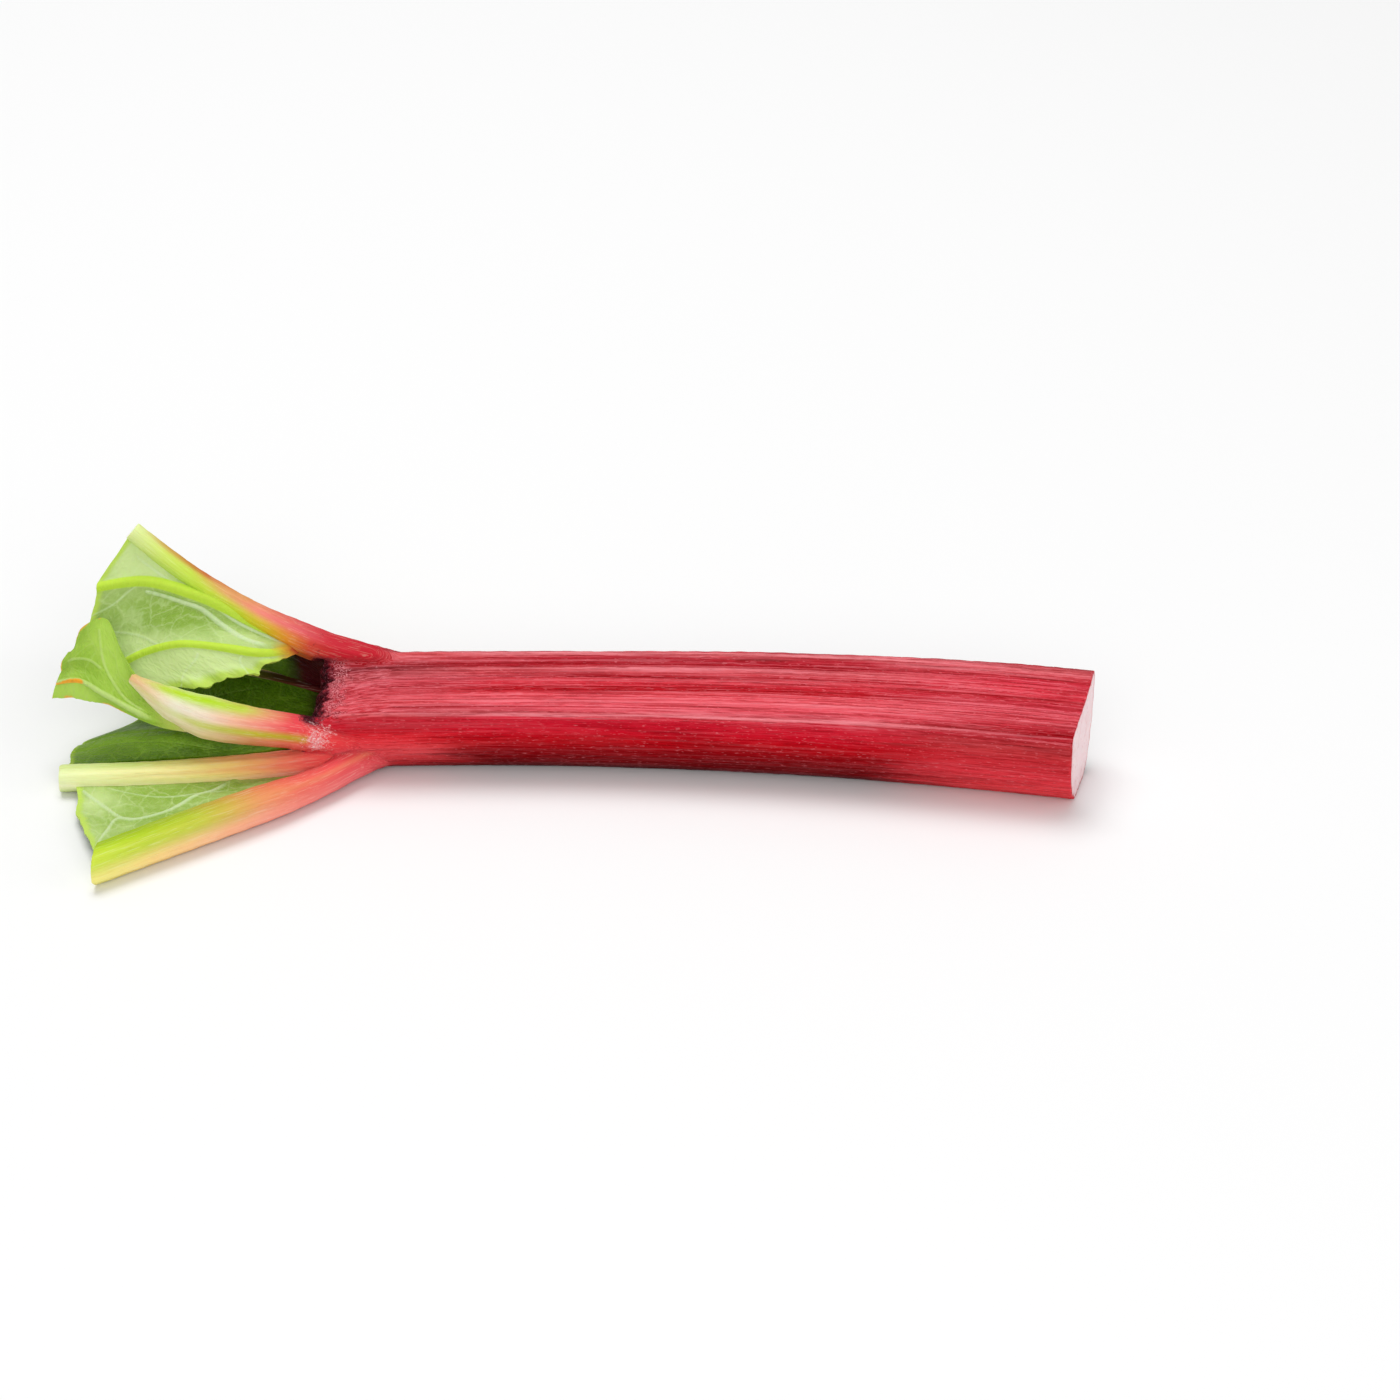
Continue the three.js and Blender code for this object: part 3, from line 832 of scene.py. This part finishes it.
# What the knife left of the leaf between the ribs. Each blade is a sheet through its guide
# lines, u from the crown to the knife cut and v from the first guide to the last. "faces" is
# the side that its normal points to. A vein is its (u, v) route, its half width at the start
# and the end, and its height. A tone is (u, v, reach in u, reach in v, how much paler).
blades = {
    "upper_leaf_blade": {
        "guides": [
            [(-4, 11, 32.5), (-18, 11.4, 37.4), (-36, 12.8, 47.6), (-50, 14.6, 57.2), (-63, 16, 66.4)],
            [(-5, 9.4, 32.4), (-20, 10.2, 38.6), (-37, 10.6, 46.8), (-55, 9.2, 52.2), (-74, 9, 50.2)],
            [(-6, 8.8, 31.8), (-22, 5.6, 36.6), (-41, 5.4, 41.8), (-58, 4, 42.2), (-77, 3, 38.6)],
            [(-7, 8, 31.2), (-22, -0.6, 35.4), (-42, -2, 36), (-58, -2.8, 32), (-75, -3.6, 27)],
            [(-8, 7.4, 30.6), (-15, -2.6, 29.8), (-26, -10, 26.6), (-46, -10.6, 22.8), (-70, -6, 20)],
        ],
        "cells": (170, 130),
        "faces": "under",
        "veins": [
            ([(0.1, 0.28), (0.23, 0.31), (0.32, 0.29), (0.43, 0.27), (0.52, 0.245), (0.61, 0.24),
              (0.79, 0.22), (1, 0.24)], 2.6, 1.5, 1.7),
            ([(0, 0.7), (0.08, 0.78), (0.16, 0.82), (0.25, 0.8), (0.36, 0.75), (0.53, 0.72), (0.71, 0.72),
              (0.85, 0.76), (1, 0.8)], 1.5, 0.9, 1.3),
            ([(0.16, 0.68), (0.27, 0.62), (0.38, 0.49), (0.5, 0.38), (0.6, 0.35), (0.76, 0.3)],
             1.1, 0.4, 0.8),
            ([(0.08, 0.6), (0.18, 0.47), (0.26, 0.42), (0.35, 0.39), (0.44, 0.33)], 0.9, 0.4, 0.6),
            ([(0.47, 0.78), (0.52, 0.83), (0.62, 0.88), (0.69, 0.95)], 0.55, 0.3, 0.3),
            ([(0.3, 0.8), (0.36, 0.88), (0.4, 0.97)], 0.5, 0.3, 0.25),
            ([(0.62, 0.72), (0.72, 0.62), (0.84, 0.56), (0.99, 0.52)], 0.5, 0.3, 0.3),
            ([(0.66, 0.2), (0.78, 0.11), (0.9, 0.06)], 0.5, 0.3, 0.3),
            ([(0.8, 0.22), (0.88, 0.36), (0.97, 0.42)], 0.45, 0.3, 0.2),
        ],
        "tones": [(0.85, 0.08, 0.35, 0.13, 0.7), (0.6, 0.88, 0.42, 0.14, 0.8), (0.28, 0.55, 0.14, 0.12, 0.3),
                  (0.72, 0.64, 0.2, 0.08, 0.45), (0.6, 0.5, 0.2, 0.12, -0.25), (0.95, 0.35, 0.12, 0.1, 0.15)],
        "pucker": 0.9,
        "torn": (0, 0.075),  # how deep the margins at v 0 and v 1 are torn, as a share of the width
        "far": 0.008,  # how deep the outer margin, at u 1, is torn
        "bites": {  # larger losses at a margin: place along it, depth
            "far": [(0, 0), (0.2, 0), (0.25, 0.01), (0.3, 0.024), (0.36, 0.03), (0.45, 0.024),
                    (0.6, 0.012), (0.8, 0.018), (1, 0.022)],
        },
        "lip": 1.5,  # the torn margin curls up by this much
        "lime": (0.26, 0.1),  # the strip along the first rib that is lime green: v, softness
    },
    "back_leaf_blade": {
        "guides": [
            [(0, 11.8, 31), (-20, 14.6, 37.8), (-37, 17.2, 48), (-50, 19.2, 56.6), (-60, 21, 63)],
            [(6, 11.5, 25.4), (-20, 26, 31), (-36, 32.6, 38.6), (-49, 36.6, 44), (-60, 39, 47.6)],
            [(6, 8.8, 18.8), (-20, 31.4, 20.4), (-37, 39.4, 22.4), (-51, 43.6, 24), (-63, 46, 25)],
            [(14, 10, 10), (-18, 27.8, 10.4), (-36, 35.8, 9.6), (-49, 39.8, 9.2), (-61, 43.2, 8.8)],
        ],
        "cells": (140, 120),
        "faces": "upper",
        "veins": [
            ([(0.05, 0.5), (0.35, 0.42), (0.7, 0.36), (1, 0.35)], -1, -0.6, 0.7),
            ([(0.1, 0.75), (0.4, 0.7), (0.7, 0.68), (1, 0.7)], -0.9, -0.5, 0.7),
            ([(0.35, 0.42), (0.55, 0.54), (0.8, 0.56)], -0.6, -0.4, 0.35),
            ([(0.5, 0.39), (0.7, 0.25), (0.95, 0.18)], -0.6, -0.4, 0.35),
            ([(0.4, 0.7), (0.6, 0.84), (0.9, 0.9)], -0.6, -0.4, 0.35),
        ],
        "tones": [(0.8, 0.3, 0.3, 0.2, 0.3), (0.6, 0.8, 0.3, 0.15, 0.3)],
        "pucker": 1.2,
        "tucked": 11,  # this much of it is inside the stalk or in the shade of the crown
    },
    "floor_leaf_blade": {
        "guides": [
            [(1, 12.5, 11), (-18, 23.8, 9.2), (-36, 31.4, 8), (-48, 35.2, 7.6), (-59, 38.4, 7.4)],
            [(0, 3, 9.5), (-20, 8, 5.4), (-38, 9.6, 3.6), (-52, 9.4, 3.2), (-62, 8.4, 3.4)],
            [(0, -7, 9.5), (-22, -8.5, 9), (-42, -8.5, 8.8), (-62, -8.5, 7.2), (-79, -10.6, 3.2)],
            [(0, -14.5, 10), (-24, -20.6, 8), (-44, -23.8, 7.8), (-60, -26, 7.2), (-79, -28.4, 6.2)],
        ],
        "cells": (150, 130),
        "faces": "upper",
        "veins": [
            ([(0.05, 0.7), (0.4, 0.68), (0.7, 0.66), (1, 0.66)], -1, -0.7, 0.6),
            ([(0.1, 0.35), (0.4, 0.3), (0.7, 0.3), (1, 0.32)], -1.1, -0.7, 0.6),
            ([(0.3, 0.92), (0.55, 0.82), (0.8, 0.78), (1, 0.8)], -0.6, -0.5, 0.35),
            ([(0.35, 0.08), (0.6, 0.18), (0.9, 0.16)], -0.6, -0.4, 0.35),
        ],
        "tones": [(0.3, 0.35, 0.2, 0.15, 0.35), (0.8, 0.75, 0.3, 0.15, 0.5)],
        "pucker": 0.7,
    },
    "front_leaf_blade": {
        "guides": [
            [(2, -23, 4.2), (-16, -26.6, 3.4), (-36, -30, 3.2), (-56, -32.6, 3.2), (-75, -34.4, 3.4)],
            [(2, -27, 4.2), (-14, -36, 4.6), (-32, -43.6, 5.2), (-50, -50.4, 4.6), (-70, -56, 3)],
            [(0, -31.6, 4.2), (-13, -43, 4.6), (-28, -55, 5.4), (-45, -67, 5.6), (-60, -77.6, 5)],
        ],
        "cells": (150, 100),
        "faces": "under",
        "veins": [
            ([(0.36, 0.05), (0.47, 0.34), (0.6, 0.56), (0.71, 0.67), (0.82, 0.61), (0.9, 0.31), (0.96, 0.12)],
             1.1, 0.5, 0.6),
            ([(0.78, 0.66), (0.85, 0.58), (0.9, 0.74), (0.98, 0.95)], 0.8, 0.4, 0.45),
            ([(0.38, 0.32), (0.55, 0.38), (0.71, 0.29), (0.86, 0.09)], 0.6, 0.4, 0.3),
            ([(0.3, 0.95), (0.45, 0.82), (0.6, 0.8)], 0.5, 0.3, 0.3),
        ],
        "tones": [(0.92, 0.3, 0.12, 0.2, 0.35), (0.6, 0.4, 0.25, 0.4, -0.2), (0.95, 0.8, 0.1, 0.2, 0.2)],
        "pucker": 1,
    },
    "curled_leaf_blade": {
        "guides": [
            [(-36, -25, 18.2), (-48.2, -24.5, 19.7), (-57.5, -23.5, 23.2), (-65.7, -21.5, 25.5),
             (-75.5, -18, 24.4), (-85.2, -14, 22.1)],
            [(-36, -25, 19.2), (-48.1, -24.6, 21.6), (-57.9, -23.6, 25.8), (-66.5, -21, 29.4),
             (-74.4, -17.5, 31.5), (-83.7, -13, 27.4)],
            [(-36, -24.4, 21.9), (-49.5, -23, 23.9), (-59.2, -21, 27.9), (-68.3, -17, 33.2),
             (-76.3, -13.5, 33.9), (-83.4, -12, 30.2)],
            [(-36, -23.5, 24.3), (-51, -21, 26.4), (-60.3, -18, 30.5), (-68.8, -14, 38.1),
             (-77.1, -11.5, 36.7), (-82.1, -11, 32.2)],
            [(-36, -23.2, 27.1), (-52.3, -20, 29), (-60.3, -16, 34.8), (-68, -11, 44.4),
             (-76.1, -9, 39.7), (-80.3, -9.5, 35.1)],
            [(-36, -23, 30.2), (-53.2, -19, 32.4), (-60.1, -14, 39.1), (-66.3, -8, 49.3),
             (-74.4, -7, 45.6), (-78.4, -8.5, 38.2)],
        ],
        "cells": (150, 110),
        "faces": "curl",
        "veins": [
            ([(0.2, 0.2), (0.45, 0.2), (0.6, 0.2), (0.75, 0.2), (0.97, 0.22)], 0.6, 0.4, -0.7),
            ([(0.26, 0.3), (0.42, 0.4), (0.55, 0.6), (0.62, 0.85)], 0.5, 0.3, -0.25),
            ([(0.55, 0.5), (0.7, 0.55), (0.85, 0.56)], 0.4, 0.3, -0.2),
        ],
        "tones": [(0.6, 0.8, 0.15, 0.2, 0.35), (0.85, 0.1, 0.2, 0.12, 0.5), (0.7, 0.45, 0.1, 0.2, -0.2)],
        "pucker": 1.1,
        "torn": (0.04, 0.03),
        "far": 0.016,
        "bites": {
            "high": [(0, 0), (0.6, 0), (0.7, 0.015), (0.78, 0), (0.845, 0), (0.865, 0.19), (0.9, 0.2),
                     (0.97, 0.15), (1, 0.14)],
            "far": [(0, 0), (0.12, 0), (0.3, 0.012), (0.5, 0.02), (0.75, 0.01), (0.9, 0), (1, 0)],
        },
        "amber": 0.2,  # an orange fold line runs out along this v
    },
}
bladeThickness = 0.9  # mm
bladeCrease = 60  # degrees; edges sharper than this stay crisp
farTear = 0.025  # how deep the outer margin is torn where a blade doesn't say
noBite = [(0, 0)]  # a margin that has lost nothing more


def sheetPoints(guides, u, v):  # the same sheet through the guide lines as the solids use
    lines = np.array([smoothLine(guide, u) for guide in guides])
    return smoothLine(lines.reshape(len(guides), -1), v).reshape(len(v), len(u), 3)


def bilinear(grid, u, v):
    rows, columns = grid.shape[0] - 1, grid.shape[1] - 1
    x, y = np.clip(u, 0, 1) * columns, np.clip(v, 0, 1) * rows
    i, j = np.minimum(x.astype(int), columns - 1), np.minimum(y.astype(int), rows - 1)
    s, t = (x - i)[:, None], (y - j)[:, None]
    lower = grid[j, i] * (1 - s) + grid[j, i + 1] * s
    upper = grid[j + 1, i] * (1 - s) + grid[j + 1, i + 1] * s
    return lower * (1 - t) + upper * t


def tornEdge(places, seed, pitch):  # a torn margin: 0 to 1, with notches of several widths
    rng = np.random.default_rng(seed)
    result = np.zeros(len(places))
    for share, width in ((0.5, pitch), (0.3, pitch / 2.3), (0.2, pitch / 6)):
        knots = rng.random(int(1 / width) + 3)
        result += share * np.interp(places / width, np.arange(len(knots)), knots)
    return result


def layVeins(veins, dense, points):  # height, share of thick and of thin vein, and how far the nearest is
    height, thick, thin = np.zeros((3, len(points)))
    nearVein = np.full(len(points), 30.0)
    samples = np.linspace(0, 1, 120)
    for route, startWidth, endWidth, rise in veins:
        course = smoothLine(route, samples)
        at, away = nearest(points, bilinear(dense, course[:, 0], course[:, 1]))
        half = np.abs(startWidth + (endWidth - startWidth) * samples[at])
        bead = np.exp(-1.4 * (away / half) ** 2) * rise * np.sign(startWidth)
        height = np.where(np.abs(bead) > np.abs(height), bead, height)
        isThick = abs(rise) > 1
        share = np.exp(-(away / half) ** (4 if isThick else 2)) * step(samples[at], 0, 0.12)
        if isThick:
            thick = np.maximum(thick, share)
        else:
            thin = np.maximum(thin, share * (0.45 + 0.55 * abs(rise)))
        nearVein = np.minimum(nearVein, away)
    return height, thick, thin, nearVein


def growBlade(name, spec, seed):
    columns, rows = spec["cells"]
    bpy.ops.object.select_all(action="DESELECT")
    bpy.ops.mesh.primitive_grid_add(x_subdivisions=columns, y_subdivisions=rows, size=1, location=(0, 0, 0))
    piece = bpy.context.object
    piece.name = name + "_leaf"
    across, upward = (readVertices(piece, "co") + 0.5)[:, :2].T
    i, j = np.round(across * columns).astype(int), np.round(upward * rows).astype(int)
    tearLow, tearHigh = spec.get("torn", (0.0, 0.0))
    bites = spec.get("bites", {})
    alongEdge, acrossEdge = np.linspace(0, 1, columns + 1), np.linspace(0, 1, rows + 1)
    low = tearLow * tornEdge(alongEdge, seed, 0.12)
    high = 1 - tearHigh * tornEdge(alongEdge, seed + 1, 0.12)
    high -= np.interp(alongEdge, *zip(*bites.get("high", noBite)))
    far = 1 - spec.get("far", farTear) * tornEdge(acrossEdge, seed + 2, 0.2)
    far -= np.interp(acrossEdge, *zip(*bites.get("far", noBite)))
    u = across * far[j]
    v = low[i] + upward * (high[i] - low[i])
    denseU, denseV = 401, 301  # samples of the whole sheet
    dense = sheetPoints(spec["guides"], np.linspace(0, 1, denseU), np.linspace(0, 1, denseV))
    points = bilinear(dense, u, v)
    nudge = 0.004
    alongU = bilinear(dense, np.minimum(u + nudge, 1), v) - bilinear(dense, np.maximum(u - nudge, 0), v)
    alongV = bilinear(dense, u, np.minimum(v + nudge, 1)) - bilinear(dense, u, np.maximum(v - nudge, 0))
    normal = unit(np.cross(alongU, alongV))
    midRow, midColumn = dense[denseV // 2], dense[:, denseU // 2]
    length = np.linalg.norm(midRow[1:] - midRow[:-1], axis=1).sum()
    width = np.linalg.norm(midColumn[1:] - midColumn[:-1], axis=1).sum()
    height, thick, thin, nearVein = layVeins(spec["veins"], dense, points)
    swell = np.sin(u * 11 + seed) * np.sin(v * 9 + seed * 2) + 0.6 * np.sin(u * 23 + v * 7 + seed * 3)
    held = step(u, 0.02, 0.3)  # the crown end keeps its place
    slack = held * np.sin(np.pi * np.clip(v, 0.04, 0.96))
    puff = spec["pucker"] * (0.45 * swell + 0.5 * (1 - np.exp(-nearVein / 4))) * slack
    if "lip" in spec:
        wave = 0.6 + 0.5 * np.sin(u * 31 + 1) + 0.3 * np.sin(u * 53)
        puff += spec["lip"] * wave * step(upward, 0.9, 1.0) * step(u, 0.1, 0.3)
    points = points + normal * (height * held + puff)[:, None]
    points[:, 2] = np.maximum(points[:, 2], bladeThickness * 0.6)  # nothing sinks into the table
    writePoints(piece, points)
    margin = [(1 - across) * length]
    if tearLow:
        margin.append(upward * width)
    if tearHigh:
        margin.append((1 - upward) * width)
    tone = np.full(len(u), 0.3)
    for atU, atV, reachU, reachV, paler in spec["tones"]:
        tone += paler * np.exp(-((u - atU) / reachU) ** 2 - ((v - atV) / reachV) ** 2)
    lime, amber = np.zeros((2, len(u)))
    if "lime" in spec:
        edge, soft = spec["lime"]
        lime = step(v, edge + soft, edge - soft) * step(u, 0.75, 0.45)
    if "amber" in spec:
        amber = bell(v - spec["amber"], 0.018) * step(u, 0.72, 0.8)
    store(piece, {
        "sheet": np.column_stack([u * length, v * width, np.full(len(u), seed * 20.0)]),
        "vein": thick,
        "paleVein": thin,
        "fromCrown": u * length - spec.get("tucked", 0.0),
        "toMargin": np.min(margin, axis=0),
        "tone": np.clip(tone, 0, 1),
        "lime": lime,
        "amber": amber,
    })
    return piece


leafLooks = {
    "under": {
        "light": "#cde298", "dark": "#8cae42", "vein": "#c0e044", "pale": "#d4e7b8", "net": "#d2e4a6",
        "edge": "#bcd85c", "root": "#cf9a30", "stem": "#b83028", "reach": 14, "margin": 2.6, "ragged": 0,
        "rough": 0.45, "relief": 0.6,
    },
    # on the upper side the root and stem colours are near black: painted shade in the hollow of the crown
    # over the leaf base's own olive and maroon
    "upper": {
        "light": "#7aa21a", "dark": "#446608", "vein": "#9cbc44", "pale": "#8cae48", "net": "#86a834",
        "edge": "#8cac22", "root": "#3a3a10", "stem": "#4c0a12", "reach": 9, "margin": 1.6, "ragged": 0,
        "rough": 0.34, "relief": -1,
    },
    "curl": {
        "light": "#badc5c", "dark": "#90b638", "vein": "#c8da6a", "pale": "#c4da88", "net": "#b4ce6c",
        "edge": "#e2b04a", "root": "#b8c85c", "stem": "#d8c890", "reach": 14, "margin": 1, "ragged": 1,
        "rough": 0.4, "relief": 0.7,
    },
}


def leafMaterial(name, look):
    material, start, shader = newMaterial(name)
    sheet = start.attribute("sheet", "Vector")
    clouds = sheet.scaled((0.06, 0.09, 0.05)).noise(1.0, 3.0, 0.55)
    mottle = sheet.scaled((0.5, 0.5, 0.5)).noise(1.0, 3.0, 0.6)
    bend = sheet.scaled((0.25, 0.25, 0.25)).noise(1.0, 2.0, 0.5, "Color")
    bending = {0: bend, 1: (3, 3, 3), 2: sheet}
    bent = start.node("ShaderNodeVectorMath", {"operation": "MULTIPLY_ADD"}, bending)
    net = bent.cells(0.11, "DISTANCE_TO_EDGE")
    mesh = bent.cells(0.5, "DISTANCE_TO_EDGE")
    netMask = net.between(0.05, 0.0) * 0.75 + mesh.between(0.1, 0.0) * 0.3
    tone = start.attribute("tone") + (clouds - 0.5) * 0.9
    toMargin = start.attribute("toMargin") + (mottle - 0.5) * 1.6
    toMargin = toMargin + clouds.between(0.42, 0.56) * (look["ragged"] * 2.4)
    fromCrown = start.attribute("fromCrown") + (clouds - 0.5) * 6.0
    margin, reach = look["margin"], look["reach"]
    paint = coats(tone.between(0.0, 1.0).mix(look["dark"], look["light"]), [
        (mottle.between(0.5, 0.75) * 0.3, look["light"]),
        (netMask * 0.36, look["net"]),
        (toMargin.between(margin, margin * 0.3), look["edge"]),
        (start.attribute("lime") * 0.9, "#a9ca32"),
        (start.attribute("paleVein").between(0.1, 0.85) * 0.7, look["pale"]),
        (start.attribute("vein").between(0.25, 0.8), look["vein"]),
        # the base of the leaf, root then stem; on the upper side these are painted shade
        (fromCrown.between(reach, reach * 0.35), look["root"]),
        (fromCrown.between(reach * 0.5, 1.5), look["stem"]),
        (start.attribute("amber").between(0.3, 0.7), "#eea42e"),
    ])
    puffs = net.between(0.0, 0.35) * (-0.6 * look["relief"])
    puffs = puffs + mesh.between(0.0, 0.3) * (-0.25 * look["relief"])
    rough = look["rough"] + mottle * 0.2
    relief = puffs + mottle * 0.25
    finish(shader, paint, rough, relief.bump(0.7, 0.0008), 0.16, 0.15, 0.002, (0.6, 1.0, 0.2))
    return material


leafSides = {side: leafMaterial("leaf_" + side, look) for side, look in leafLooks.items()}
otherSide = {"under": "upper", "upper": "under", "curl": "curl"}
for number, (name, spec) in enumerate(blades.items()):
    leaf = growBlade(name, spec, number + 3)
    leaf.data.materials.append(leafSides[spec["faces"]])
    leaf.data.materials.append(leafSides[otherSide[spec["faces"]]])
    applyModifier(leaf, "SOLIDIFY", {"thickness": bladeThickness * mm, "offset": 0.0, "material_offset": 1})
    only(leaf)
    bpy.ops.object.shade_smooth_by_angle(angle=math.radians(bladeCrease))
    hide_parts(name)
    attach(leaf, "root")
    print(name, "ready", len(leaf.data.polygons))
